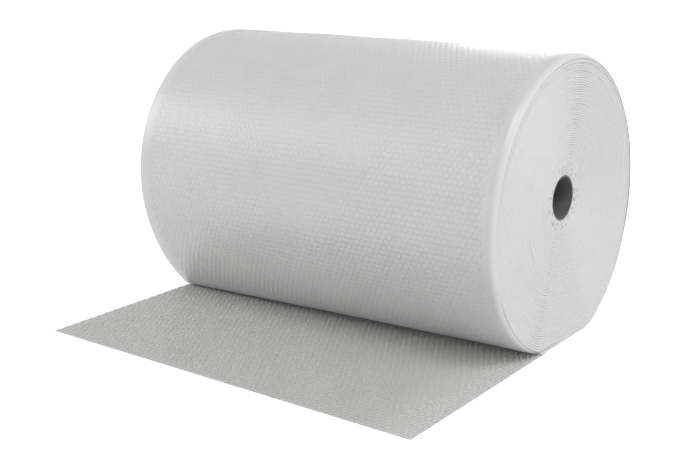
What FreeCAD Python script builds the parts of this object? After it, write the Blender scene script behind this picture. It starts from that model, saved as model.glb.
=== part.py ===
import FreeCAD, Part
import math
import os

# A roll of bubble film lies on its side, with its loose end pulled out flat on the floor.
# X runs along the core, the loose end points to -Y, and Z is up.
# The origin is on the floor, straight below the core, half way along the roll.
# Lengths are in millimetres and angles in degrees.

# The film
WEB_WIDTH = 750.0
WEB_THICKNESS = 4.0

# The tube that the film is wound on
CORE_BORE_RADIUS = 35.0
CORE_WALL = 3.0
CORE_CLEARANCE = 0.3
CORE_RECESS = 14.0  # how far each end of the tube stays inside the film's width

# The wound film, which sags under its own weight
ROLL_RADIUS = 254.0
WINDINGS_IN_A_STEP = 3  # windings that lie even at the ends and are modelled as one
CENTRE_DROP = 13.0  # the outermost winding is centred this far below the core
CENTRE_LEAN = 2.5  # and this far behind it
FLOOR_SAG = 18.0  # the floor flattens the outermost winding by this much
FLOOR_CORNER_RADIUS = 62.0  # where a winding turns from the floor up the side

# The outermost winding hangs slack at the front, from this angle below the level of its centre
SLACK_ANGLE = 8.0
SLACK_RADIUS = 290.0

# The loose end, measured from the plane of the core to its cut edge
TAIL_REACH = 470.0
PRESSED_LENGTH = 12.0  # next to the roll the bubbles are pressed level

# The bubbles of the loose end, where a ridge stands for each row of them
BUBBLE_PITCH = 10.8  # between neighbours, which lie in a honeycomb
RIDGE_TOP = 4.4  # width of a ridge's flat top
FILM_THICKNESS = 0.8  # what is left of the web between two ridges

# The two ends of the roll
END_DISH = 13.0  # the innermost winding stands this far back from the outer ones
END_BANDS = 4  # the windings step back in this many soft bands
BAND_DEPTH = 0.8  # 0 for a plain cone, and under 1, where a band would turn flat
RIM_ALONG = 22.0  # the soft rim of each end is a quarter of an ellipse, this long along the roll
RIM_DEEP = 16.0  # and this deep below the roll's outside

# What follows from them
CORE_RADIUS = CORE_BORE_RADIUS + CORE_WALL
CORE_HEIGHT = ROLL_RADIUS + CENTRE_DROP - FLOOR_SAG
# The spiral lies inside the outermost winding, and its reach is measured at the level of the core
SPIRAL_RADIUS = ROLL_RADIUS - WEB_THICKNESS
SPIRAL_CORNER_RADIUS = FLOOR_CORNER_RADIUS - WEB_THICKNESS
FIRST_REACH = CORE_RADIUS + CORE_CLEARANCE
LAST_REACH = math.sqrt(SPIRAL_RADIUS**2 - CENTRE_DROP**2)
WINDING_STEPS = math.floor((LAST_REACH - FIRST_REACH) / (WINDINGS_IN_A_STEP * WEB_THICKNESS))
STEP_THICKNESS = (LAST_REACH - FIRST_REACH) / WINDING_STEPS
HALF_TURNS = 2 * WINDING_STEPS
ROW_GAP = BUBBLE_PITCH * math.sin(math.radians(60))


def point(y, z):
    """A point of the roll's section, which lies in the plane X = 0."""
    return FreeCAD.Vector(0, y, z)


def line(start, end):
    return Part.LineSegment(start, end).toShape()


def arc(start, middle, end):
    return Part.Arc(start, middle, end).toShape()


def around(centre, radius, angle):
    """The point of a circle at an angle in radians, counted from +Y towards +Z."""
    return centre + point(math.cos(angle), math.sin(angle)) * radius


def arc_around(centre, radius, first, last):
    """An arc of a circle between two angles in radians."""
    ends = [around(centre, radius, angle) for angle in (first, (first + last) / 2, last)]
    return arc(*ends)


def extruded(face, half_length):
    """A section made solid, as far to one side of the plane X = 0 as to the other."""
    solid = face.extrude(FreeCAD.Vector(2 * half_length, 0, 0))
    solid.translate(FreeCAD.Vector(-half_length, 0, 0))
    return solid


def floor_corner(radius, sag, corner_radius):
    """Where a sagging winding turns to the floor: its distance from the middle, and its angle."""
    drop = radius - sag - corner_radius
    distance = math.sqrt((radius - corner_radius) ** 2 - drop**2)
    return distance, math.atan2(-drop, distance)


def sagging_arcs(centre, radius, sag, corner_radius, back_angle, front_angle):
    """A winding's lower part, from its back to its front: side, corner, floor, corner and side."""
    floor = centre.z - radius + sag
    distance, angle = floor_corner(radius, sag, corner_radius)
    back = point(centre.y + distance, floor + corner_radius)
    front = point(centre.y - distance, floor + corner_radius)
    return [
        arc_around(centre, radius, back_angle, angle),
        arc_around(back, corner_radius, angle, -math.pi / 2),
        line(point(back.y, floor), point(front.y, floor)),
        arc_around(front, corner_radius, -math.pi / 2, -math.pi - angle),
        arc_around(centre, radius, -math.pi - angle, front_angle),
    ]


def reaches(index):
    """How far out a half turn of the spiral starts and ends, at the level of the core.

    Even half turns go over the top from front to back, and odd ones go back underneath.
    The spiral starts from a round bore and ends in a closed winding.
    """
    if index < 0:
        return FIRST_REACH, FIRST_REACH
    if index >= HALF_TURNS - 2:
        return LAST_REACH, LAST_REACH
    start = FIRST_REACH + STEP_THICKNESS * (index + 1) / 2
    return start, start + STEP_THICKNESS / 2


def share_wound(reach):
    """0 at the bore and 1 at the last half turns."""
    return (reach - FIRST_REACH) / (LAST_REACH - FIRST_REACH)


def half_turn(index):
    """The edges of one half turn, and its two ends at the level of the core."""
    start, end = reaches(index)
    over_the_top = index % 2 == 0
    front_reach, back_reach = (start, end) if over_the_top else (end, start)
    front = point(CENTRE_LEAN * share_wound(front_reach) - front_reach, CORE_HEIGHT)
    back = point(CENTRE_LEAN * share_wound(back_reach) + back_reach, CORE_HEIGHT)
    half_span = (start + end) / 2
    share = share_wound(half_span)
    drop = CENTRE_DROP * share
    centre = point((back.y + front.y) / 2, CORE_HEIGHT - drop)
    radius = math.hypot((back.y - front.y) / 2, drop)
    if over_the_top:
        return [arc(front, centre + point(0, radius), back)], front, back
    if share == 0:
        return [arc(back, centre - point(0, radius), front)], front, back
    level = math.asin(drop / radius)
    corner_radius = SPIRAL_CORNER_RADIUS * radius / SPIRAL_RADIUS
    edges = sagging_arcs(centre, radius, FLOOR_SAG * share, corner_radius, level, -math.pi - level)
    return edges, front, back


def rim_setback(depth):
    """How far the rounded rim stands back from the end, at a depth below the roll's outside."""
    rise = max(0, 1 - depth / RIM_DEEP)
    return RIM_ALONG * (1 - math.sqrt(1 - rise**2))


def end_of_half_turn(index):
    """How far the film's edge stands from the plane X = 0 in one half turn.

    It never comes back on the way out, so that each half turn is backed by the next, and it
    stops where the rim takes in the last step.
    """
    share = (index + 1) / HALF_TURNS
    band_angle = 2 * math.pi * END_BANDS
    share -= BAND_DEPTH * math.sin(band_angle * share) / band_angle
    last_step = rim_setback(WEB_THICKNESS + STEP_THICKNESS / 2)
    return WEB_WIDTH / 2 - max(END_DISH * (1 - share), last_step)


def wound_half_turn(index):
    """The film between one half turn of the spiral and the one before it, as a solid."""
    outer, outer_front, outer_back = half_turn(index)
    inner, inner_front, inner_back = half_turn(index - 2)
    sides = [line(outer_front, inner_front), line(outer_back, inner_back)]
    wire = Part.Wire(Part.__sortEdges__(outer + inner + sides))
    return extruded(Part.Face(wire), end_of_half_turn(index))


def outermost_winding():
    """The last winding: slack at the front, where it comes down on the loose end."""
    centre = point(CENTRE_LEAN, ROLL_RADIUS - FLOOR_SAG)
    slack_start = -math.pi + math.radians(SLACK_ANGLE)
    distance, corner = floor_corner(ROLL_RADIUS, FLOOR_SAG, FLOOR_CORNER_RADIUS)
    back = point(centre.y + distance, FLOOR_CORNER_RADIUS)
    slack_centre = around(centre, ROLL_RADIUS - SLACK_RADIUS, slack_start)
    landing_angle = -math.pi + math.asin(slack_centre.z / SLACK_RADIUS)
    landing = around(slack_centre, SLACK_RADIUS, landing_angle)
    outside = [
        arc_around(centre, ROLL_RADIUS, corner, 2 * math.pi + slack_start),
        arc_around(slack_centre, SLACK_RADIUS, slack_start, landing_angle),
        line(landing, point(back.y, 0)),
        arc_around(back, FLOOR_CORNER_RADIUS, -math.pi / 2, corner),
    ]
    over_the_top, _, _ = half_turn(HALF_TURNS - 2)
    underneath, _, _ = half_turn(HALF_TURNS - 1)
    section = Part.Face(Part.Wire(outside)).cut(Part.Face(Part.Wire(over_the_top + underneath)))
    return extruded(section, WEB_WIDTH / 2 - rim_setback(WEB_THICKNESS / 2)), landing.y


def loose_end(landing):
    """The flat film in front of the roll, down to where the roll rests on it.

    Its section has a groove between each two rows of bubbles.
    """
    start, end = -TAIL_REACH, landing + WEB_THICKNESS
    slope = (ROW_GAP - RIDGE_TOP) / 2
    grooves = math.floor((landing - PRESSED_LENGTH - start) / ROW_GAP)
    corners = [point(start, 0), point(start, WEB_THICKNESS)]
    for row in range(1, grooves):
        middle = start + row * ROW_GAP
        corners += [
            point(middle - slope, WEB_THICKNESS),
            point(middle, FILM_THICKNESS),
            point(middle + slope, WEB_THICKNESS),
        ]
    corners += [point(end, WEB_THICKNESS), point(end, 0)]
    section = Part.Face(Part.makePolygon(corners + corners[:1]))
    return extruded(section, WEB_WIDTH / 2)


def bubble_wrap():
    """All the film: the spiral of windings, the slack last one and the loose end."""
    last, landing = outermost_winding()
    windings = [wound_half_turn(index) for index in range(HALF_TURNS)]
    return last.multiFuse(windings + [loose_end(landing)])


def core_tube():
    length = WEB_WIDTH - 2 * CORE_RECESS
    start = FreeCAD.Vector(-length / 2, 0, CORE_HEIGHT)
    along = FreeCAD.Vector(1, 0, 0)
    outside = Part.makeCylinder(CORE_RADIUS, length, start, along)
    bore = Part.makeCylinder(CORE_BORE_RADIUS, length, start, along)
    return outside.cut(bore)


def main():
    os.makedirs("parts", exist_ok=True)
    for name, shape in {"bubble_wrap": bubble_wrap(), "core_tube": core_tube()}.items():
        print(name, shape.isValid(), len(shape.Solids), len(shape.Faces), round(shape.Volume), shape.BoundBox)
        shape.exportStep("parts/" + name + ".step")


main()
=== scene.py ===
# %% [markdown]
# # A roll of bubble film
#
# The object is a roll of bubble film, as it is bought for packing: about half a metre across and
# 750 mm wide, wound on a plastic tube. It lies on its side and its loose end is pulled out flat.
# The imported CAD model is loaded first, and everything below is fitted round it in the same metres.

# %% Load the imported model
import bisect
import math
import bmesh
import bpy
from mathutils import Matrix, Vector


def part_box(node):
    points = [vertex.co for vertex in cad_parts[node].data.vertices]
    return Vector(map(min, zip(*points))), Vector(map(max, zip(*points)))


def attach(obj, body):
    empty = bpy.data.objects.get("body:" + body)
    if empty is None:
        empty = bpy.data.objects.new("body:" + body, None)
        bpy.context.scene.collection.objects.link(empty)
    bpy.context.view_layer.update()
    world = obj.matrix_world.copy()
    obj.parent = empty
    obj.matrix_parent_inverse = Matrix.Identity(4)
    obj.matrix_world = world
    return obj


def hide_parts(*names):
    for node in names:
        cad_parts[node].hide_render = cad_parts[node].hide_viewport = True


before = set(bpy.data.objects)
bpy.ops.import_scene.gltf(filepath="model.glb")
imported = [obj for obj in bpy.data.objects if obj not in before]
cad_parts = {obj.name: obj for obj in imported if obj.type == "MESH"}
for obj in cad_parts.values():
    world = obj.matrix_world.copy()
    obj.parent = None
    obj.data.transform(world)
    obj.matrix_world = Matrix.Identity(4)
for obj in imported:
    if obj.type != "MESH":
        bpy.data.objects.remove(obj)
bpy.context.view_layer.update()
film_low, film_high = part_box("bubble_wrap")
print("film box:", tuple(film_low), tuple(film_high))

# %% [markdown]
# ## Camera
#
# The viewpoint was worked out from the outlines of the roll and of its loose end: a little above the
# roll, and 37 degrees to the right of straight in front of the loose end. Placing it first means that
# every later step can be judged in the final frame.

# %% Camera
CAMERA_AZIMUTH = math.radians(36.74)
CAMERA_ELEVATION = math.radians(15.07)
CAMERA_ROLL = math.radians(-0.41)
CAMERA_DISTANCE = 2.1428
CAMERA_TARGET = Vector((-0.07931, 0, 0.12251))
LENS = 58.24

back = Vector((math.sin(CAMERA_AZIMUTH) * math.cos(CAMERA_ELEVATION),
               -math.cos(CAMERA_AZIMUTH) * math.cos(CAMERA_ELEVATION),
               math.sin(CAMERA_ELEVATION)))
right = Vector((math.cos(CAMERA_AZIMUTH), math.sin(CAMERA_AZIMUTH), 0))
up = back.cross(right)
tilted_right = right * math.cos(CAMERA_ROLL) + up * math.sin(CAMERA_ROLL)
tilted_up = up * math.cos(CAMERA_ROLL) - right * math.sin(CAMERA_ROLL)

camera_data = bpy.data.cameras.new("camera")
camera_data.lens = LENS
camera_data.sensor_width = 36
camera = bpy.data.objects.new("camera", camera_data)
place = CAMERA_TARGET + back * CAMERA_DISTANCE
for row in range(3):
    for column, axis in enumerate((tilted_right, tilted_up, back, place)):
        camera.matrix_world[row][column] = axis[row]
bpy.context.scene.collection.objects.link(camera)
bpy.context.scene.camera = camera
print("camera at", tuple(round(value, 3) for value in place))

# %% [markdown]
# ## Node helpers
#
# Both the materials and the Geometry Nodes trees are graphs of nodes. `Wire` wraps one output socket
# and overloads the arithmetic, so that a sum of sockets reads as a sum. `Graph.node` makes any other
# node from its type, its settings and the values or wires of its sockets.

# %% Wires and graphs
class Wire:
    """One output socket, on which arithmetic adds Math nodes."""

    def __init__(self, graph, socket):
        self.graph = graph
        self.socket = socket

    def out(self, name):
        """Another output of the same node."""
        return Wire(self.graph, self.socket.node.outputs[name])

    def __add__(self, other):
        return self.graph.maths("ADD", self, other)

    def __radd__(self, other):
        return self.graph.maths("ADD", other, self)

    def __sub__(self, other):
        return self.graph.maths("SUBTRACT", self, other)

    def __rsub__(self, other):
        return self.graph.maths("SUBTRACT", other, self)

    def __mul__(self, other):
        return self.graph.maths("MULTIPLY", self, other)

    def __rmul__(self, other):
        return self.graph.maths("MULTIPLY", other, self)

    def __truediv__(self, other):
        return self.graph.maths("DIVIDE", self, other)

    def __neg__(self):
        return self.graph.maths("MULTIPLY", self, -1)


class Graph:
    """A node tree that is built by calls."""

    def __init__(self, tree):
        self.tree = tree

    def node(self, kind, settings=None, inputs=None):
        made = self.tree.nodes.new(kind)
        for name, value in (settings or {}).items():
            setattr(made, name, value)
        for name, value in (inputs or {}).items():
            if isinstance(name, int):
                socket = made.inputs[name]
            else:
                socket = next(s for s in made.inputs if s.enabled and s.name == name)
            wires = value if isinstance(value, list) else [value]
            if isinstance(wires[0], Wire):
                for wire in wires:
                    self.tree.links.new(wire.socket, socket)
            else:
                socket.default_value = value
        outputs = [s for s in made.outputs if s.enabled]
        return Wire(self, outputs[0]) if outputs else made

    def maths(self, operation, *values):
        return self.node("ShaderNodeMath", {"operation": operation}, dict(enumerate(values)))

    def vector(self, operation, *values):
        return self.node("ShaderNodeVectorMath", {"operation": operation}, dict(enumerate(values)))

    def scaled(self, vector, factor):
        return self.node("ShaderNodeVectorMath", {"operation": "SCALE"},
                         {"Vector": vector, "Scale": factor})

    def combined(self, x, y, z):
        return self.node("ShaderNodeCombineXYZ", {}, {"X": x, "Y": y, "Z": z})

    def clamped(self, value):
        """The value held between 0 and 1."""
        return self.node("ShaderNodeMapRange", {"clamp": True}, {"Value": value})


print("node helpers ready")

# %% [markdown]
# ## The roll's shape
#
# Film this soft never lies in true circles. The floor flattens the roll, its core rides above the
# middle, and the outermost winding hangs slack at the front, more at the far end than at the near one.
# Two outlines hold all that, a round one and a slack one. They are drawn here from lines and arcs,
# and every winding is then a blend between the tube and an outline.

# %% Sizes of the roll, in metres
WEB_WIDTH = film_high[0] - film_low[0]
HALF_WIDTH = WEB_WIDTH / 2
TAIL_REACH = -film_low[1]
WEB_THICKNESS = 0.004
ROLL_RADIUS = 0.254
ROLL_CENTRE = (0.0025, 0.236)
FLOOR_SAG = 0.018
BACK_CORNER = 0.090
FRONT_CORNER = 0.030
SLACK_ANGLE = math.radians(18)
SLACK_RADIUS = 0.4
CORE_LEVEL = 0.249
CORE_RADIUS = 0.0383
RIM_DEEP = 0.016
WINDINGS = 54
START_ANGLE = math.radians(-108)
print("web", round(WEB_WIDTH, 4), "wide, loose end reaches", round(TAIL_REACH, 4))


# %% The two outlines
def on_circle(centre, radius, angle):
    """The point (y, z) of a circle, with the angle counted from +Y towards +Z."""
    return centre[0] + radius * math.cos(angle), centre[1] + radius * math.sin(angle)


def arc(centre, radius, first, last, spacing=0.002):
    count = max(2, round(abs(last - first) * radius / spacing))
    return [on_circle(centre, radius, first + (last - first) * step / count)
            for step in range(count + 1)]


def floor_corner(radius):
    """Where the roll turns up from the floor: its distance from the middle, and its angle."""
    drop = ROLL_RADIUS - FLOOR_SAG - radius
    distance = math.sqrt((ROLL_RADIUS - radius) ** 2 - drop**2)
    return distance, math.atan2(-drop, distance)


def outline(slack):
    """The outermost winding's outside, from the floor up the back, over the top and down again."""
    distance, turn = floor_corner(BACK_CORNER)
    points = arc((ROLL_CENTRE[0] + distance, BACK_CORNER), BACK_CORNER, -math.pi / 2, turn)
    if slack:
        start = math.pi + SLACK_ANGLE
        centre = on_circle(ROLL_CENTRE, ROLL_RADIUS - SLACK_RADIUS, start)
        landing = math.pi + math.asin(centre[1] / SLACK_RADIUS)
        points += arc(ROLL_CENTRE, ROLL_RADIUS, turn, start)
        points += arc(centre, SLACK_RADIUS, start, landing)
    else:
        distance, front_turn = floor_corner(FRONT_CORNER)
        front_corner = (ROLL_CENTRE[0] - distance, FRONT_CORNER)
        points += arc(ROLL_CENTRE, ROLL_RADIUS, turn, math.pi - front_turn)
        points += arc(front_corner, FRONT_CORNER, math.pi - front_turn, 1.5 * math.pi)
    return points


def reaches_by_angle(points):
    """How far an outline is from the middle of the core, as two lists: angles and reaches."""
    found = []
    for y, z in points:
        angle = math.atan2(z - CORE_LEVEL, y)
        found.append((angle % (2 * math.pi), math.hypot(y, z - CORE_LEVEL)))
    found.sort()
    return [angle for angle, _ in found], [reach for _, reach in found]


round_reaches = reaches_by_angle(outline(slack=False))
slack_reaches = reaches_by_angle(outline(slack=True))


def reach_at(table, angle):
    """The reach at an angle; where an outline has no points, it is the flat floor."""
    angles, reaches = table
    angle %= 2 * math.pi
    after = bisect.bisect(angles, angle)
    on_floor = CORE_LEVEL / max(-math.sin(angle), 1e-6)
    if after in (0, len(angles)):
        first, last = -1, 0
        gap = (angles[0] - angles[-1]) % (2 * math.pi)
        share = ((angle - angles[-1]) % (2 * math.pi)) / gap
    else:
        first, last = after - 1, after
        gap = angles[last] - angles[first]
        share = (angle - angles[first]) / gap if gap else 0
    if gap > math.radians(3) and math.sin(angle) < 0:
        return on_floor
    return reaches[first] + (reaches[last] - reaches[first]) * share


def reach_of_outline(angle, slack):
    """0 for the round outline, 1 for the slack one, and a blend between."""
    return (reach_at(round_reaches, angle) * (1 - slack)
            + reach_at(slack_reaches, angle) * slack)


print("slack front stands out by", round(max(
    reach_of_outline(math.radians(a), 1) - reach_of_outline(math.radians(a), 0)
    for a in range(180, 260)), 4))


# %% The spiral
def ease(value):
    value = min(max(value, 0), 1)
    return value * value * (3 - 2 * value)


def reach_of_web(turns, slack):
    """How far the web's outside is from the core's middle, after some turns in from the floor."""
    angle = START_ANGLE + 2 * math.pi * turns
    if turns < 1:
        return reach_of_outline(angle, slack) - WEB_THICKNESS * ease((turns - 0.9) * 10)
    share = max(0, 1 - (turns - 1) / (WINDINGS - 1))
    loose = slack * ease((share - 0.8) * 5)
    outside = reach_of_outline(angle, loose) - WEB_THICKNESS
    return CORE_RADIUS + share * (outside - CORE_RADIUS)


def on_the_ray(reach, turns):
    angle = START_ANGLE + 2 * math.pi * turns
    return reach * math.cos(angle), CORE_LEVEL + reach * math.sin(angle)


def rim_softness(turns):
    """How much of the rounded rim a place on the web has.

    It is 0 where the web comes in along the floor with its whole width. It is 1 from the back on, and
    it fades again where a winding comes down to the floor, which holds it flat.
    """
    if turns < 0.5:
        return ease((turns - 0.10) / 0.36)
    part = turns % 1
    lifted = 1 - ease((part - 0.72) / 0.26) if part > 0.5 else ease((part - 0.06) / 0.20)
    return 0.3 + 0.7 * lifted


def layer_below(turns):
    """How thick the loose end is under a winding, which climbs onto it as it comes down."""
    part = turns % 1
    if part > 0.5:
        return WEB_THICKNESS * ease((part - 0.9) * 10)
    return WEB_THICKNESS * (1 - ease(part / 0.06)) if turns >= 1 else 0


def wire_path(name, points, attribute, values):
    """A chain of edges in the plane X = 0 that carries one vector at each point."""
    mesh = bpy.data.meshes.new(name)
    mesh.from_pydata([(0, y, z) for y, z in points],
                     [(step, step + 1) for step in range(len(points) - 1)], [])
    layer = mesh.attributes.new(attribute, "FLOAT_VECTOR", "POINT")
    layer.data.foreach_set("vector", [number for value in values for number in value])
    piece = bpy.data.objects.new(name, mesh)
    bpy.context.scene.collection.objects.link(piece)
    return piece


STEPS_IN_A_TURN = 120


def spiral_path(name, slack):
    """The web from the floor to the tube. Each point knows the room to the next winding, its depth
    below the roll's outside, and how soft the rim is there."""
    points, values = [], []
    for step in range(WINDINGS * STEPS_IN_A_TURN + 1):
        turns = step / STEPS_IN_A_TURN
        reach = reach_of_web(turns, slack)
        inside = reach_of_web(turns + 1, slack) if turns < WINDINGS - 1 else CORE_RADIUS
        room = max(reach - inside, 0.0005)
        outside = reach_of_outline(START_ANGLE + 2 * math.pi * turns, slack) - layer_below(turns)
        depth = outside - reach + room / 2
        points.append(on_the_ray(reach, turns))
        values.append((room, depth, rim_softness(turns)))
    return wire_path(name, points, "winding", values)


# %% [markdown]
# ## Soft edges at both ends
#
# The film's edges have nothing beside them to hold the air in, so the last 20 mm or so of the outer
# windings sink in and the roll's rim is rounded. The rim is a quarter of an ellipse. It gives both
# the height of the outermost web across its width and the place where each inner winding ends. The
# rim is softest over the top, it fades where the floor holds the film flat, and in the photo the far
# end has hardly any of it.

# %% The rounded rim
RIM_ALONG = 0.022
OUTER_WEB_HALF = 0.3732
RIM_COVER = 0.0105
FAR_RIM = 0.2
END_DISH = 0.013
WEB_INSET = 0.0014  # where the web's rim ends, inside the full width
LUMP_RANGE = 0.0022
CALM_SLOPE = 14.0  # the lumps fade out towards both rims
CALM_START = 0.5
FLOOR_LEVEL = 0.0002  # nothing of the film goes below this


def at_the_rim(graph, across):
    """How far past the start of the rim a place across the web is, from 0 to 1."""
    start = HALF_WIDTH - WEB_INSET - RIM_ALONG
    return graph.clamped((graph.maths("ABSOLUTE", across) - start) / RIM_ALONG)


def on_the_web(graph, curve, along, across, height):
    """A place on the outermost web and the way that the web faces there."""
    pull = graph.node("GeometryNodeInputNamedAttribute", {"data_type": "FLOAT_VECTOR"},
                      {"Name": "pull"})
    sample = graph.node("GeometryNodeSampleCurve", {"mode": "LENGTH", "data_type": "FLOAT_VECTOR"},
                        {"Curves": curve, "Length": along, "Value": pull})
    outwards = graph.vector("NORMALIZE", graph.vector("CROSS_PRODUCT", sample.out("Tangent"), (1, 0, 0)))
    parts = graph.node("ShaderNodeSeparateXYZ", {}, {"Vector": sample.out("Value")})
    softness = parts.out("X") * (1 - graph.maths("LESS_THAN", across, 0) * (1 - FAR_RIM))
    nearness = (across + HALF_WIDTH) / WEB_WIDTH
    line = graph.vector("ADD", sample.out("Position"), graph.combined(
        0, parts.out("Y") * nearness, parts.out("Z") * nearness))
    past = at_the_rim(graph, across)
    level = graph.maths("SQRT", 1 - past * past)
    lumps = graph.node("ShaderNodeTexNoise", {}, {
        "Vector": graph.vector("ADD", line, graph.combined(across, 0, 0)),
        "Scale": 9.0, "Detail": 1.0, "Roughness": 0.4})
    from_the_end = HALF_WIDTH - graph.maths("ABSOLUTE", across)
    calm = graph.clamped(from_the_end * CALM_SLOPE - CALM_START)
    uneven = (lumps - 0.5) * LUMP_RANGE * calm * parts.out("X")
    rise = height - RIM_DEEP * (1 - level) * softness + uneven
    position = graph.vector("ADD", graph.vector("ADD", line, graph.combined(across, 0, 0)),
                            graph.scaled(outwards, rise))
    position = graph.vector("MAXIMUM", position, (-1, -1, FLOOR_LEVEL))
    sideways = graph.maths("SIGN", across) * past * softness * (RIM_DEEP / RIM_ALONG)
    normal = graph.vector("NORMALIZE", graph.vector(
        "ADD", graph.scaled(outwards, level), graph.combined(sideways, 0, 0)))
    return position, normal


# %% [markdown]
# ## Geometry Nodes trees
#
# A roll is repetition: one web, wound 54 times, with about twelve thousand bubbles in sight. Modelling
# that by hand would be slow and uneven, so trees do it. One lays a sheet along a path, one plants
# bubbles in offset rows along the same path, and one sweeps the edge of the web round and round to
# make the ends of the roll. A smaller one, further down, makes the ring of pressed bubbles.

# %% Making and using a tree
def new_tree(name, sizes):
    """An empty tree whose inputs are named sizes, and the wires of those inputs."""
    tree = bpy.data.node_groups.new(name, "GeometryNodeTree")
    tree.interface.new_socket("Path", in_out="INPUT", socket_type="NodeSocketGeometry")
    for label, kind in sizes.items():
        tree.interface.new_socket(label, in_out="INPUT", socket_type="NodeSocket" + kind)
    tree.interface.new_socket("Geometry", in_out="OUTPUT", socket_type="NodeSocketGeometry")
    graph = Graph(tree)
    start = tree.nodes.new("NodeGroupInput")
    wires = {socket.name: Wire(graph, socket) for socket in start.outputs if socket.name}
    return graph, wires


def close_tree(graph, geometry, material):
    """Every tree ends in real faces with a material, because instances aren't exported."""
    real = graph.node("GeometryNodeRealizeInstances", {}, {"Geometry": geometry})
    finished = graph.node("GeometryNodeSetMaterial", {}, {"Geometry": real, "Material": material})
    end = graph.tree.nodes.new("NodeGroupOutput")
    graph.tree.links.new(finished.socket, end.inputs["Geometry"])
    return graph.tree


def run_tree(tree, path, name, values):
    """A plain mesh object from a tree on a path. The path itself stays as it was."""
    maker = bpy.data.objects.new(name + "_maker", path.data)
    bpy.context.scene.collection.objects.link(maker)
    modifier = maker.modifiers.new("tree", "NODES")
    modifier.node_group = tree
    for item in tree.interface.items_tree:
        if item.in_out == "INPUT" and item.name in values:
            modifier[item.identifier] = values[item.name]
    evaluated = maker.evaluated_get(bpy.context.evaluated_depsgraph_get())
    mesh = bpy.data.meshes.new_from_object(evaluated)
    maker.modifiers.clear()
    bpy.data.objects.remove(maker)
    return whole_mesh(mesh, name)


def whole_mesh(mesh, name):
    """An object from a mesh, with its seams merged and its faces turned outwards."""
    shape = bmesh.new()
    shape.from_mesh(mesh)
    bmesh.ops.remove_doubles(shape, verts=shape.verts, dist=2e-6)
    bmesh.ops.dissolve_degenerate(shape, edges=shape.edges, dist=1e-7)
    bmesh.ops.recalc_face_normals(shape, faces=shape.faces)
    shape.to_mesh(mesh)
    shape.free()
    mesh.name = name
    mesh.shade_smooth()
    piece = bpy.data.objects.new(name, mesh)
    bpy.context.scene.collection.objects.link(piece)
    triangles = sum(len(face.vertices) - 2 for face in mesh.polygons)
    print(name, "has", triangles, "triangles")
    return piece


def grid_places(graph, columns):
    """The row and the column of each point of a grid, counted from 0."""
    index = graph.node("GeometryNodeInputIndex")
    row = graph.maths("FLOOR", (index + 0.5) / columns)
    return row, index - row * columns


# %% A tree that lays a sheet along a path
def sheet_tree():
    graph, sizes = new_tree("sheet along a path", {
        "Row step": "Float", "Columns": "Int", "Half width": "Float", "Thickness": "Float",
        "Material": "Material"})
    curve = graph.node("GeometryNodeMeshToCurve", {}, {"Mesh": sizes["Path"]})
    length = graph.node("GeometryNodeCurveLength", {}, {"Curve": curve})
    rows = graph.maths("CEIL", length / sizes["Row step"]) + 1
    grid = graph.node("GeometryNodeMeshGrid", {}, {
        "Vertices X": rows, "Vertices Y": sizes["Columns"]})
    row, column = grid_places(graph, sizes["Columns"])
    along = length * row / (rows - 1)
    across = sizes["Half width"] * graph.maths(
        "SINE", (column / (sizes["Columns"] - 1) - 0.5) * math.pi)
    # the two sides of the sheet meet along its border, which closes it
    inside = graph.maths("MINIMUM", graph.maths("MINIMUM", row, rows - 1 - row),
                         graph.maths("MINIMUM", column, sizes["Columns"] - 1 - column))
    thickness = graph.clamped(inside) * sizes["Thickness"]

    def side(height):
        position, _ = on_the_web(graph, curve, along, across, height)
        return graph.node("GeometryNodeSetPosition", {}, {"Geometry": grid, "Position": position})

    under = graph.node("GeometryNodeFlipFaces", {}, {"Mesh": side(-thickness)})
    laid = graph.node("GeometryNodeJoinGeometry", {}, {"Geometry": [side(0), under]})
    return close_tree(graph, laid, sizes["Material"])


# %% A tree that plants bubbles in offset rows
def bubble_tree():
    graph, sizes = new_tree("bubbles along a path", {
        "Bubble": "Object", "Pitch": "Float", "From": "Float", "To": "Float",
        "Half width": "Float", "Radius": "Float", "Height": "Float", "Seed": "Int",
        "Material": "Material"})
    curve = graph.node("GeometryNodeMeshToCurve", {}, {"Mesh": sizes["Path"]})
    row_gap = sizes["Pitch"] * math.sin(math.radians(60))
    rows = graph.maths("FLOOR", (sizes["To"] - sizes["From"]) / row_gap)
    columns = graph.maths("FLOOR", sizes["Half width"] * 2 / sizes["Pitch"] - 0.4)
    grid = graph.node("GeometryNodeMeshGrid", {}, {"Vertices X": rows, "Vertices Y": columns})
    row, column = grid_places(graph, columns)
    first_row = graph.maths("FLOOR", sizes["From"] / row_gap)
    offset = graph.maths("MODULO", row + first_row, 2) * 0.5 - 0.25
    across = (column - (columns - 1) * 0.5 + offset) * sizes["Pitch"]
    along = (row + first_row + 0.6) * row_gap
    position, normal = on_the_web(graph, curve, along, across, 0)
    points = graph.node("GeometryNodeSetPosition", {}, {"Geometry": grid, "Position": position})
    facing = graph.node("FunctionNodeAxesToRotation", {"primary_axis": "Z", "secondary_axis": "X"}, {
        "Primary Axis": normal, "Secondary Axis": (1, 0, 0)})
    fullness = graph.node("FunctionNodeRandomValue", {"data_type": "FLOAT"}, {
        "Min": 0.82, "Max": 1.0, "Seed": sizes["Seed"]})
    radius = sizes["Radius"] * (0.75 + fullness * 0.25)
    shape = graph.node("GeometryNodeObjectInfo", {}, {"Object": sizes["Bubble"]}).out("Geometry")
    planted = graph.node("GeometryNodeInstanceOnPoints", {}, {
        "Points": points, "Instance": shape, "Rotation": facing,
        "Scale": graph.combined(radius, radius, sizes["Height"] * fullness)})
    return close_tree(graph, planted, sizes["Material"])


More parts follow.
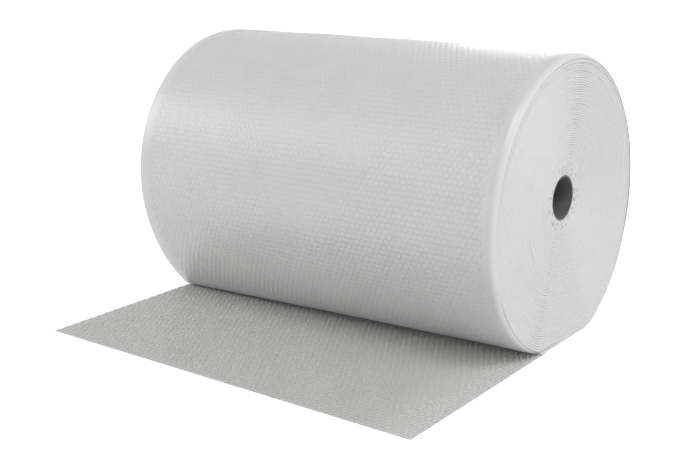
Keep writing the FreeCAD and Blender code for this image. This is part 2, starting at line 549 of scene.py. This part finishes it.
# %% A tree that sweeps the web's edge round the end of the roll
EDGE_RIDGE = 0.0004  # how far the middle of an edge stands out
EDGE_INSET = 0.0006
EDGE_UNEVENNESS = 0.002
EDGE_RIPPLE = 0.0002  # each bubble pushes the edge out by this
STRIP_DEPTH = 0.012  # how far the strip goes in between two windings
STRIP_CLEARANCE = 0.0005
COVER_SLOPE = 500.0
TUCK_BACK = 0.004  # under the outermost web's rim the strip is tucked away
TUCK_IN = 0.0015
TUCK_SLOPE = 0.08


def end_tree():
    graph, sizes = new_tree("edges of the windings", {
        "Step": "Float", "Side": "Float", "Rim": "Float", "Pitch": "Float", "Seed": "Float",
        "Material": "Material"})
    curve = graph.node("GeometryNodeMeshToCurve", {}, {"Mesh": sizes["Path"]})
    length = graph.node("GeometryNodeCurveLength", {}, {"Curve": curve})
    rows = graph.maths("CEIL", length / sizes["Step"])
    grid = graph.node("GeometryNodeMeshGrid", {}, {"Vertices X": rows, "Vertices Y": 6})
    row, column = grid_places(graph, 6)
    along = length * row / (rows - 1)
    winding = graph.node("GeometryNodeInputNamedAttribute", {"data_type": "FLOAT_VECTOR"},
                         {"Name": "winding"})
    sample = graph.node("GeometryNodeSampleCurve", {"mode": "LENGTH", "data_type": "FLOAT_VECTOR"},
                        {"Curves": curve, "Length": along, "Value": winding})
    parts = graph.node("ShaderNodeSeparateXYZ", {}, {"Vector": sample.out("Value")})
    room, depth, softness = parts.out("X"), parts.out("Y"), parts.out("Z") * sizes["Rim"]
    # the five corners of the web's section: inside, edge, middle, edge, inside
    corner = graph.maths("MODULO", column, 5) - 2
    far_out = graph.maths("ABSOLUTE", corner)
    first = graph.maths("MINIMUM", far_out, 1)
    second = graph.maths("MAXIMUM", far_out - 1, 0)
    pinch = graph.clamped(graph.maths("MINIMUM", row, rows - 1 - row))
    over = graph.maths("SIGN", corner) * (first * 0.45 + second * 0.05) * pinch
    inside = (first * EDGE_RIDGE + second * STRIP_DEPTH) * pinch
    # where this corner of the web ends
    line = sample.out("Position")
    middle = (0, 0, CORE_LEVEL)
    reach = graph.vector("DISTANCE", line, middle).out("Value")
    dished = (1 - graph.clamped((reach - CORE_RADIUS) / (ROLL_RADIUS - CORE_RADIUS))) * END_DISH
    rim_depth = graph.maths("MAXIMUM", softness * RIM_DEEP, 0.0002)
    rim = graph.clamped(1 - (depth + room * over) / rim_depth)
    sunk = RIM_ALONG * (1 - graph.maths("SQRT", 1 - rim * rim))
    unevenness = graph.node("ShaderNodeTexNoise", {"noise_dimensions": "1D"}, {
        "W": along * 7 + sizes["Seed"], "Scale": 1.0, "Detail": 2.0, "Roughness": 0.6})
    ripple = graph.maths("SINE", along * (2 * math.pi) / sizes["Pitch"]) * EDGE_RIPPLE
    covered = graph.clamped((RIM_COVER * softness - depth) * COVER_SLOPE)
    ends = (HALF_WIDTH - EDGE_INSET - sunk - dished
            + (unevenness - 0.5) * EDGE_UNEVENNESS * (1 - covered)
            + ripple - inside - covered * TUCK_BACK)
    outwards = graph.vector("NORMALIZE", graph.vector("SUBTRACT", line, middle))
    inwards = (room * (0.5 + over) + STRIP_CLEARANCE + covered * TUCK_IN
               + sunk * TUCK_SLOPE)
    placed = graph.vector("ADD", graph.vector("SUBTRACT", line, graph.scaled(outwards, inwards)),
                          graph.combined(ends * sizes["Side"], 0, 0))
    placed = graph.vector("MAXIMUM", placed, (-1, -1, FLOOR_LEVEL))
    swept = graph.node("GeometryNodeSetPosition", {}, {"Geometry": grid, "Position": placed})
    return close_tree(graph, swept, sizes["Material"])


sheet, bubbles, ends = sheet_tree(), bubble_tree(), end_tree()
print("trees:", [tree.name for tree in (sheet, bubbles, ends)])

# %% [markdown]
# ## Film
#
# Bubble film is clear, but dozens of layers scatter the light until the roll looks white. A single
# layer on the floor looks greyer. So there is one recipe for all the film, a soft glossy plastic with
# faint clouds in its colour and its gloss, and each part of the roll has its own whiteness. Near the
# side that faces the camera the film's colour is painted whiter: painted light, standing in for the
# light that comes in at its edge.
# The bubbles of the loose end are the one clear part: one sees the film below through them.

# %% The film's material
# painted light: between these two places across the web the film's colour is painted whiter towards the
# near end
PAINTED_LIGHT_START = HALF_WIDTH - 0.014
PAINTED_LIGHT_FULL = HALF_WIDTH - 0.001


def film(name, colour, roughness, cloud=0.04, bump=0.0003, alpha=1.0, painted_light_colour=None,
         painted_light_from=PAINTED_LIGHT_START, coat=0.0):
    """A film of one colour, or one whose colour is painted whiter towards the near end, as painted
    light for the light that comes in at the film's edge.
    """
    material = bpy.data.materials.new(name)
    material.use_nodes = True
    tree = material.node_tree
    tree.nodes.clear()
    graph = Graph(tree)
    place = graph.node("ShaderNodeTexCoord").out("Object")
    clouds = graph.node("ShaderNodeTexNoise", {}, {
        "Vector": place, "Scale": 14.0, "Detail": 3.0, "Roughness": 0.5}).out("Fac")
    grain = graph.node("ShaderNodeTexNoise", {}, {
        "Vector": place, "Scale": 160.0, "Detail": 2.0, "Roughness": 0.5}).out("Fac")
    darker = tuple(part * (1 - cloud) for part in colour) + (1,)
    lighter = tuple(min(1, part * (1 + cloud)) for part in colour) + (1,)
    tone = graph.node("ShaderNodeMix", {"data_type": "RGBA"}, {
        "Factor": clouds, "A": darker, "B": lighter})
    # painted light: towards the near end the colour is painted whiter, for the light that comes in at
    # the film's edge
    if painted_light_colour:
        across = graph.node("ShaderNodeSeparateXYZ", {}, {"Vector": place}).out("X")
        edge = graph.node("ShaderNodeMapRange", {"interpolation_type": "SMOOTHSTEP"}, {
            "Value": across, "From Min": painted_light_from,
            "From Max": PAINTED_LIGHT_FULL})
        tone = graph.node("ShaderNodeMix", {"data_type": "RGBA"}, {
            "Factor": edge, "A": tone, "B": (*painted_light_colour, 1)})
    bumps = graph.node("ShaderNodeBump", {}, {"Strength": 0.6, "Distance": bump, "Height": grain})
    shader = graph.node("ShaderNodeBsdfPrincipled", {}, {
        "Base Color": tone, "Roughness": roughness + (clouds - 0.5) * 0.15, "Normal": bumps,
        "IOR": 1.5, "Alpha": alpha, "Coat Weight": coat, "Coat Roughness": 0.22})
    graph.node("ShaderNodeOutputMaterial", {}, {"Surface": shader})
    return material


EDGE_WHITE = (0.89, 0.885, 0.885)
# painted light: the wound film's colour is painted whiter, up to the edges' white, towards the near
# end's rim
wound_film = film("wound film", (0.68, 0.675, 0.675), 0.42, painted_light_colour=EDGE_WHITE, coat=0.3)
edge_film = film("film edges", EDGE_WHITE, 0.5, cloud=0.02)
# painted light: from 0.25 m out towards the near end the loose end's film and bubbles are painted
# whiter, which also lightens the shade along the crease there
single_film = film("single film", (0.65, 0.65, 0.64), 0.38, painted_light_colour=(0.76, 0.755, 0.75),
                   painted_light_from=0.25)
clear_bubbles = film("clear bubbles", (0.68, 0.68, 0.67), 0.35, alpha=0.3,
                     painted_light_colour=(0.80, 0.795, 0.79), painted_light_from=0.25)
bright_bubbles = film("bright bubbles", (0.88, 0.88, 0.88), 0.2, alpha=0.7)
print("film materials:", [made.name for made in (
    wound_film, edge_film, single_film, clear_bubbles, bright_bubbles)])


# %% [markdown]
# ## One bubble
#
# A bubble is a low dome on the film. It is repeated thousands of times, so it has only a few dozen
# faces: a ring at the film, one or two rings higher up, and a top.

# %% One bubble
def bubble_shape(name, sides, levels):
    """A dome one unit high and wide, closed below."""
    shape = bmesh.new()
    rings = []
    for tilt in levels:
        rings.append([shape.verts.new((math.cos(tilt) * math.cos(2 * math.pi * side / sides),
                                       math.cos(tilt) * math.sin(2 * math.pi * side / sides),
                                       math.sin(tilt))) for side in range(sides)])
    top = shape.verts.new((0, 0, 1))
    for lower, upper in zip(rings, rings[1:]):
        for side in range(sides):
            after = (side + 1) % sides
            shape.faces.new((lower[side], lower[after], upper[after], upper[side]))
    for side in range(sides):
        shape.faces.new((rings[-1][side], rings[-1][(side + 1) % sides], top))
    shape.faces.new(list(reversed(rings[0])))
    for face in shape.faces:
        face.smooth = True
    mesh = bpy.data.meshes.new(name)
    shape.to_mesh(mesh)
    shape.free()
    return bpy.data.objects.new(name, mesh)


low_bubble = bubble_shape("low bubble", 8, (-0.2, 0.65))
full_bubble = bubble_shape("full bubble", 10, (-0.1, 0.55))
print("faces of a bubble:", len(low_bubble.data.polygons), len(full_bubble.data.polygons))

# %% [markdown]
# ## The outermost web
#
# The web comes in along the floor, goes under the roll, up the back, over the top and down the front.
# Its smooth backing faces out, so its bubbles only show as low rings. One sheet follows that path and
# goes on for most of a second turn, so that the slack front has film behind it. The path starts at
# the line where the roll comes down, and the bubbles stop short of it, because the web is flat there.

# %% The outermost web
BUBBLE_PITCH = 0.0108
SHEET_STEPS = 360  # points of the outermost web's path in one turn


def winding_path(name, first, last):
    """The outside of the web between two numbers of turns.

    Each point knows how soft the rim is there, and the way from the slack to the round outline.
    """
    points, values = [], []
    count = round((last - first) * SHEET_STEPS)
    for step in range(count + 1):
        turns = first + (last - first) * step / count
        slack, firm = reach_of_web(turns, 1), reach_of_web(turns, 0)
        points.append(on_the_ray(slack, turns))
        y, z = on_the_ray(firm, turns)
        values.append((rim_softness(turns), y - points[-1][0], z - points[-1][1]))
    return wire_path(name, points, "pull", values)


outer_path = winding_path("outer path", 0.0, 1.9)
outer_web = run_tree(sheet, outer_path, "outer_web", {
    "Row step": 0.010, "Columns": 73, "Half width": OUTER_WEB_HALF, "Thickness": 0.0008,
    "Material": wound_film})

turn_points = [point.co for point in outer_path.data.vertices][:SHEET_STEPS + 1]
outer_length = sum((one - other).length for one, other in zip(turn_points, turn_points[1:]))
print("one turn of the outermost web is", round(outer_length, 4), "long")

outer_bubbles = [run_tree(bubbles, outer_path, name, {
    "Bubble": low_bubble, "Pitch": BUBBLE_PITCH, "From": start, "To": end,
    "Half width": 0.3575, "Radius": 0.0048, "Height": 0.00018, "Seed": 3, "Material": wound_film})
    for name, start, end in (("bubbles_back", outer_length * 0.12, outer_length * 0.54),
                             ("bubbles_front", outer_length * 0.54, outer_length * 0.945))]

# %% [markdown]
# ## The loose end
#
# In front of the roll the web lies on the floor with its bubbles up. It is one layer, so the bubbles
# stand at their full height of a little over 3 mm on a thin film.

# %% The loose end
FILM = 0.0006
TAIL_TO = -0.066


def flat_path(name, first, last, height):
    """A straight path on the floor, with the bubble side up."""
    points = [(first + (last - first) * step / 80, height) for step in range(81)]
    return wire_path(name, points, "pull", [(0, 0, 0)] * 81)


tail_path = flat_path("tail path", TAIL_TO, -TAIL_REACH, FILM)


def tail_sheet():
    """The thin film under the bubbles, as a closed sheet."""
    shape = bmesh.new()
    rows, columns = 60, 90
    levels = []
    for level in (FILM, 0.0001):
        levels.append([[shape.verts.new((-HALF_WIDTH + WEB_WIDTH * column / columns,
                                         -TAIL_REACH + (TAIL_TO + TAIL_REACH) * row / rows, level))
                        for column in range(columns + 1)] for row in range(rows + 1)])
    above, below = levels
    for row in range(rows):
        for column in range(columns):
            shape.faces.new((above[row][column], above[row][column + 1],
                             above[row + 1][column + 1], above[row + 1][column]))
            shape.faces.new((below[row][column], below[row + 1][column],
                             below[row + 1][column + 1], below[row][column + 1]))
    rim = ([(0, c) for c in range(columns)] + [(r, columns) for r in range(rows)]
           + [(rows, c) for c in range(columns, 0, -1)] + [(r, 0) for r in range(rows, 0, -1)])
    for (row, column), (next_row, next_column) in zip(rim, rim[1:] + rim[:1]):
        shape.faces.new((above[row][column], below[row][column],
                         below[next_row][next_column], above[next_row][next_column]))
    mesh = bpy.data.meshes.new("loose_film")
    shape.to_mesh(mesh)
    shape.free()
    mesh.materials.append(single_film)
    return whole_mesh(mesh, "loose_film")


loose_film = tail_sheet()
loose_bubbles = run_tree(bubbles, tail_path, "loose_bubbles", {
    "Bubble": full_bubble, "Pitch": BUBBLE_PITCH, "From": 0.0, "To": TAIL_REACH + TAIL_TO,
    "Half width": HALF_WIDTH, "Radius": 0.0050, "Height": 0.0034, "Seed": 5, "Material": clear_bubbles})

# %% [markdown]
# ## The ends of the roll
#
# At the ends one sees the edges of all the windings. They stand back a little towards the core, and
# no two lie quite even. One strip follows the spiral from the floor to the tube at each end.

# %% The ends of the roll
STRIP_STEP = 0.0036
near_path = spiral_path("near spiral", 0.0)
far_path = spiral_path("far spiral", 1.0)
near_end = run_tree(ends, near_path, "near_end", {
    "Step": STRIP_STEP, "Side": 1.0, "Rim": 1.0, "Pitch": BUBBLE_PITCH, "Seed": 2.0,
    "Material": edge_film})
far_end = run_tree(ends, far_path, "far_end", {
    "Step": STRIP_STEP, "Side": -1.0, "Rim": FAR_RIM, "Pitch": BUBBLE_PITCH, "Seed": 40.0,
    "Material": edge_film})

# %% [markdown]
# ## Pressed bubbles round the tube
#
# The first windings went on loosely, and the weight of the roll squeezes their bubbles out at the
# ends. They show as a ring of bright specks round the tube. A tree sets flat domes of random size in
# two loose rings and leaves some of the places empty.

# %% Pressed bubbles round the tube
RING_GAP = 0.0085
RING_INSET = 0.0014


def ring_tree():
    graph, sizes = new_tree("pressed bubbles", {
        "Bubble": "Object", "Rings": "Int", "In a ring": "Int", "First radius": "Float",
        "Side": "Float", "Seed": "Int", "Material": "Material"})
    grid = graph.node("GeometryNodeMeshGrid", {}, {
        "Vertices X": sizes["Rings"], "Vertices Y": sizes["In a ring"]})
    ring, place = grid_places(graph, sizes["In a ring"])

    def chance(low, high, shift):
        return graph.node("FunctionNodeRandomValue", {"data_type": "FLOAT"}, {
            "Min": low, "Max": high, "Seed": sizes["Seed"] + shift})

    radius = sizes["First radius"] + ring * RING_GAP + chance(-0.0012, 0.0012, 1)
    angle = (place + chance(-0.35, 0.35, 2) + ring * 0.5) / sizes["In a ring"] * (2 * math.pi)
    share = graph.clamped((radius - CORE_RADIUS) / (ROLL_RADIUS - CORE_RADIUS))
    ends = (HALF_WIDTH - RING_INSET - (1 - share) * END_DISH) * sizes["Side"]
    spot = graph.combined(ends, graph.maths("COSINE", angle) * radius,
                          graph.maths("SINE", angle) * radius + CORE_LEVEL)
    points = graph.node("GeometryNodeSetPosition", {}, {"Geometry": grid, "Position": spot})
    facing = graph.node("FunctionNodeAxesToRotation", {"primary_axis": "Z", "secondary_axis": "X"}, {
        "Primary Axis": graph.combined(sizes["Side"], chance(-0.3, 0.3, 3), chance(-0.3, 0.3, 4)),
        "Secondary Axis": (0, 0, 1)})
    size = chance(0.0030, 0.0050, 5)
    kept = graph.node("FunctionNodeRandomValue", {"data_type": "BOOLEAN"}, {
        "Probability": 0.72, "Seed": sizes["Seed"]})
    shape = graph.node("GeometryNodeObjectInfo", {}, {"Object": sizes["Bubble"]}).out("Geometry")
    planted = graph.node("GeometryNodeInstanceOnPoints", {}, {
        "Points": points, "Selection": kept, "Instance": shape, "Rotation": facing,
        "Scale": graph.combined(size, size, size * 0.35)})
    return close_tree(graph, planted, sizes["Material"])


pressed = ring_tree()
pressed_bubbles = [run_tree(pressed, near_path, name, {
    "Bubble": full_bubble, "Rings": 2, "In a ring": 24, "First radius": 0.0430, "Side": side,
    "Seed": seed, "Material": bright_bubbles})
    for name, side, seed in (("pressed_bubbles_near", 1.0, 11), ("pressed_bubbles_far", -1.0, 23))]

# %% [markdown]
# ## The tube
#
# The tube keeps the shape that the CAD gives it. It gets a dark matte plastic with the fine lines
# along its length that extrusion leaves.

# %% The tube
def tube_plastic():
    material = bpy.data.materials.new("tube plastic")
    material.use_nodes = True
    material.node_tree.nodes.clear()
    graph = Graph(material.node_tree)
    place = graph.node("ShaderNodeTexCoord").out("Object")
    stretched = graph.vector("MULTIPLY", place, (2, 160, 160))
    lines = graph.node("ShaderNodeTexNoise", {}, {
        "Vector": stretched, "Scale": 1.0, "Detail": 3.0, "Roughness": 0.6}).out("Fac")
    tone = graph.node("ShaderNodeMix", {"data_type": "RGBA"}, {
        "Factor": lines, "A": (0.15, 0.15, 0.15, 1), "B": (0.21, 0.21, 0.21, 1)})
    bumps = graph.node("ShaderNodeBump", {}, {"Strength": 0.5, "Distance": 0.0003, "Height": lines})
    shader = graph.node("ShaderNodeBsdfPrincipled", {}, {
        "Base Color": tone, "Roughness": 0.6 + (lines - 0.5) * 0.2, "Normal": bumps,
        "Specular IOR Level": 0.3})
    graph.node("ShaderNodeOutputMaterial", {}, {"Surface": shader})
    return material


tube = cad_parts["core_tube"]
plastic = tube_plastic()
for place in tube.material_slots:
    place.material = plastic
print("tube slots:", len(tube.material_slots))

# %% [markdown]
# ## Floor, backdrop and light
#
# The roll stands on plain white in soft studio light. Two softboxes on the left light the long side,
# a low one in front fills the crease under the roll, two on the right light the near end, and one
# behind keeps the back from going dull. The white comes from the floor and the world as the camera
# sees them, not from more light.

# %% Floor, world and lamps
def floor_material():
    material = bpy.data.materials.new("studio floor")
    material.use_nodes = True
    material.node_tree.nodes.clear()
    graph = Graph(material.node_tree)
    path = graph.node("ShaderNodeLightPath")
    seen = graph.maths("MAXIMUM", path.out("Is Camera Ray"), graph.maths(
        "MAXIMUM", path.out("Is Glossy Ray"), path.out("Is Transmission Ray")))
    matt = graph.node("ShaderNodeBsdfDiffuse", {}, {"Color": (0.92, 0.92, 0.92, 1)})
    glow = graph.node("ShaderNodeEmission", {}, {"Color": (1, 1, 1, 1), "Strength": 0.87})
    both = graph.node("ShaderNodeAddShader", {}, {0: matt, 1: glow})
    shader = graph.node("ShaderNodeMixShader", {}, {0: seen, 1: matt, 2: both})
    graph.node("ShaderNodeOutputMaterial", {}, {"Surface": shader})
    return material


floor_mesh = bpy.data.meshes.new("floor")
floor_mesh.from_pydata([(-20, -20, -0.0004), (20, -20, -0.0004), (20, 20, -0.0004), (-20, 20, -0.0004)],
                       [], [(0, 1, 2, 3)])
floor_mesh.materials.append(floor_material())
floor = bpy.data.objects.new("floor", floor_mesh)
bpy.context.scene.collection.objects.link(floor)

world = bpy.data.worlds.new("studio")
bpy.context.scene.world = world
world.use_nodes = True
world.node_tree.nodes.clear()
graph = Graph(world.node_tree)
path = graph.node("ShaderNodeLightPath")
seen = graph.maths("MAXIMUM", path.out("Is Camera Ray"), graph.maths(
    "MAXIMUM", path.out("Is Glossy Ray"), path.out("Is Transmission Ray")))
AMBIENT = 0.34
strength = AMBIENT + seen * (1 - AMBIENT)
sky = graph.node("ShaderNodeBackground", {}, {"Color": (1, 1, 1, 1), "Strength": strength})
graph.node("ShaderNodeOutputWorld", {}, {"Surface": sky})


def soft_lamp(name, place, target, size, power):
    data = bpy.data.lights.new(name, "AREA")
    data.shape = "SQUARE"
    data.size = size
    data.energy = power
    lamp = bpy.data.objects.new(name, data)
    lamp.location = place
    lamp.rotation_euler = (Vector(target) - Vector(place)).to_track_quat("-Z", "Y").to_euler()
    bpy.context.scene.collection.objects.link(lamp)
    return lamp


soft_lamp("left softbox", (-2.2, -1.2, 1.3), (0, 0, 0.25), 1.0, 12.5)
soft_lamp("high softbox", (-1.5, -2.2, 2.2), (0, 0, 0.25), 1.6, 10)
soft_lamp("front fill", (-0.3, -2.5, 0.55), (0, -0.2, 0.1), 1.0, 6)
soft_lamp("right softbox", (2.4, 0.3, 1.7), (0.35, 0, 0.25), 1.2, 9)
soft_lamp("high right softbox", (1.5, -0.9, 2.4), (0.2, -0.2, 0), 1.0, 19)
soft_lamp("back softbox", (-0.6, 2.6, 1.3), (0, 0, 0.25), 1.6, 21)
bpy.context.scene.view_settings.view_transform = "Standard"
print("stage ready")

# %% [markdown]
# ## Tie the pieces to the model
#
# Every piece rides on the model's one body. The film pieces together stand for the CAD film, which is
# then hidden, and the paths and the single bubbles that served as tools are thrown away.

# %% Ride, replace and finish
film_pieces = [outer_web, loose_film, loose_bubbles, near_end, far_end] + outer_bubbles + pressed_bubbles
for tool in (outer_path, tail_path, near_path, far_path, low_bubble, full_bubble):
    bpy.data.objects.remove(tool)
for piece in film_pieces:
    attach(piece, "root")
    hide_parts("bubble_wrap")
